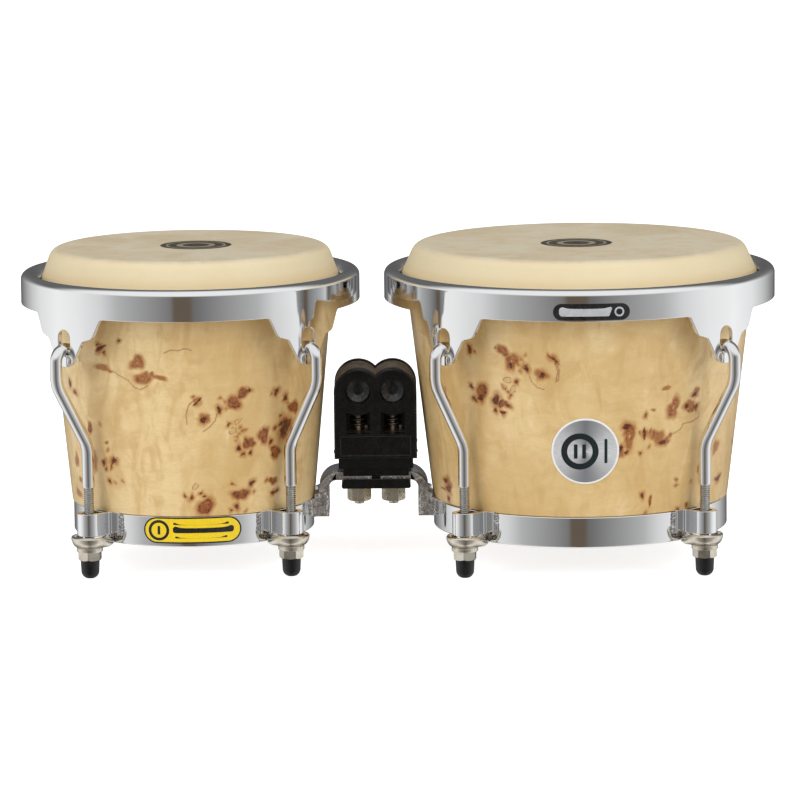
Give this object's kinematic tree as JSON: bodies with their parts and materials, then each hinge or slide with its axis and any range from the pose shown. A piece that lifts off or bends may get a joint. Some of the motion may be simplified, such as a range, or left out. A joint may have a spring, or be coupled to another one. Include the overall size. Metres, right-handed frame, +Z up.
{
  "type": "bongo drums",
  "caption": "Pair of tapered wooden hand drums of unequal width, with hide heads, rolled steel rims, hook-and-nut tuning, rubber feet and a clamped centre block.",
  "frame": {"origin": "middle of the pair's bounding box in plan, at the plane of the rubber feet", "axes": "+Z up through the heads, +X from the small drum to the large drum, -Y towards the player"},
  "size_m": [0.463, 0.2402, 0.1957],
  "materials": {
    "burl_wood": "gloss lacquered burl veneer",
    "hide": "natural dried hide, fine pores",
    "chrome": "polished chrome plate",
    "nickel": "warm nickel plate",
    "black_rubber": "smooth moulded",
    "black_plastic": "satin moulded",
    "dark_alloy": "dark ribbed casting",
    "black_steel": "black coated steel",
    "spring_steel": "oiled spring steel",
    "badge_metal": "spun and printed",
    "label_film": "printed film"
  },
  "bodies": {
    "frame": {"macho_bottom_ring": "chrome", "macho_shell": "burl_wood", "macho_head": "hide", "macho_lug_brackets": "chrome", "macho_lug_washers": "nickel", "macho_arm": "chrome", "hembra_bottom_ring": "chrome", "hembra_shell": "burl_wood", "hembra_head": "hide", "hembra_lug_brackets": "chrome", "hembra_lug_washers": "nickel", "hembra_arm": "chrome", "block_front_cover": "black_plastic", "block_rear_cover": "black_plastic", "block_core": "dark_alloy", "block_barrel_left": "dark_alloy", "block_barrel_right": "dark_alloy", "clamp_bolt_left": "nickel", "clamp_bolt_right": "nickel", "clamp_nut_left": "nickel", "clamp_nut_right": "nickel", "clamp_washer_left": "nickel", "clamp_washer_right": "nickel", "block_spring_left": "spring_steel", "block_spring_right": "spring_steel", "block_upper_pad": "black_plastic", "block_clamp_plate": "black_steel", "hembra_badge": "badge_metal", "macho_ring_label": "label_film"},
    "macho_tension_hardware": {"macho_rim": "chrome", "macho_flesh_hoop": "chrome", "macho_foot_caps": "black_rubber", "macho_hook_rear_right": "chrome", "macho_hook_rear_left": "chrome", "macho_hook_front_left": "chrome", "macho_hook_front_right": "chrome"},
    "macho_tuning_nut_rear_right": {"macho_nut_rear_right": "nickel"},
    "macho_tuning_nut_rear_left": {"macho_nut_rear_left": "nickel"},
    "macho_tuning_nut_front_left": {"macho_nut_front_left": "nickel"},
    "macho_tuning_nut_front_right": {"macho_nut_front_right": "nickel"},
    "hembra_tension_hardware": {"hembra_rim": "chrome", "hembra_flesh_hoop": "chrome", "hembra_foot_caps": "black_rubber", "hembra_hook_rear_right": "chrome", "hembra_hook_rear_left": "chrome", "hembra_hook_front_left": "chrome", "hembra_hook_front_right": "chrome", "hembra_rim_label": "label_film"},
    "hembra_tuning_nut_rear_right": {"hembra_nut_rear_right": "nickel"},
    "hembra_tuning_nut_rear_left": {"hembra_nut_rear_left": "nickel"},
    "hembra_tuning_nut_front_left": {"hembra_nut_front_left": "nickel"},
    "hembra_tuning_nut_front_right": {"hembra_nut_front_right": "nickel"}
  },
  "joints": [
    {"name": "macho_head_tension", "type": "slide", "parent": "frame", "child": "macho_tension_hardware", "axis": [0, 0, -1], "range_m": [0, 0.004], "deforming": ["macho_head"]},
    {"name": "macho_nut_turn_rear_right", "type": "hinge", "parent": "frame", "child": "macho_tuning_nut_rear_right", "pos_m": [-0.06634, 0.06116, 0.0154], "axis": [0, 0, 1], "range_deg": [0, 1135]},
    {"name": "macho_nut_turn_rear_left", "type": "hinge", "parent": "frame", "child": "macho_tuning_nut_rear_left", "pos_m": [-0.18866, 0.06116, 0.0154], "axis": [0, 0, 1], "range_deg": [0, 1135]},
    {"name": "macho_nut_turn_front_left", "type": "hinge", "parent": "frame", "child": "macho_tuning_nut_front_left", "pos_m": [-0.18866, -0.06116, 0.0154], "axis": [0, 0, 1], "range_deg": [0, 1135]},
    {"name": "macho_nut_turn_front_right", "type": "hinge", "parent": "frame", "child": "macho_tuning_nut_front_right", "pos_m": [-0.06634, -0.06116, 0.0154], "axis": [0, 0, 1], "range_deg": [0, 1135]},
    {"name": "hembra_head_tension", "type": "slide", "parent": "frame", "child": "hembra_tension_hardware", "axis": [0, 0, -1], "range_m": [0, 0.004], "deforming": ["hembra_head"]},
    {"name": "hembra_nut_turn_rear_right", "type": "hinge", "parent": "frame", "child": "hembra_tuning_nut_rear_right", "pos_m": [0.18405, 0.07255, 0.0154], "axis": [0, 0, 1], "range_deg": [0, 1135]},
    {"name": "hembra_nut_turn_rear_left", "type": "hinge", "parent": "frame", "child": "hembra_tuning_nut_rear_left", "pos_m": [0.03895, 0.07255, 0.0154], "axis": [0, 0, 1], "range_deg": [0, 1135]},
    {"name": "hembra_nut_turn_front_left", "type": "hinge", "parent": "frame", "child": "hembra_tuning_nut_front_left", "pos_m": [0.03895, -0.07255, 0.0154], "axis": [0, 0, 1], "range_deg": [0, 1135]},
    {"name": "hembra_nut_turn_front_right", "type": "hinge", "parent": "frame", "child": "hembra_tuning_nut_front_right", "pos_m": [0.18405, -0.07255, 0.0154], "axis": [0, 0, 1], "range_deg": [0, 1135]}
  ],
  "couplings": [
    {"joint": "macho_nut_turn_rear_right", "follows": "macho_head_tension", "rad_per_m": 4947.4},
    {"joint": "macho_nut_turn_rear_left", "follows": "macho_head_tension", "rad_per_m": 4947.4},
    {"joint": "macho_nut_turn_front_left", "follows": "macho_head_tension", "rad_per_m": 4947.4},
    {"joint": "macho_nut_turn_front_right", "follows": "macho_head_tension", "rad_per_m": 4947.4},
    {"joint": "hembra_nut_turn_rear_right", "follows": "hembra_head_tension", "rad_per_m": 4947.4},
    {"joint": "hembra_nut_turn_rear_left", "follows": "hembra_head_tension", "rad_per_m": 4947.4},
    {"joint": "hembra_nut_turn_front_left", "follows": "hembra_head_tension", "rad_per_m": 4947.4},
    {"joint": "hembra_nut_turn_front_right", "follows": "hembra_head_tension", "rad_per_m": 4947.4}
  ]
}
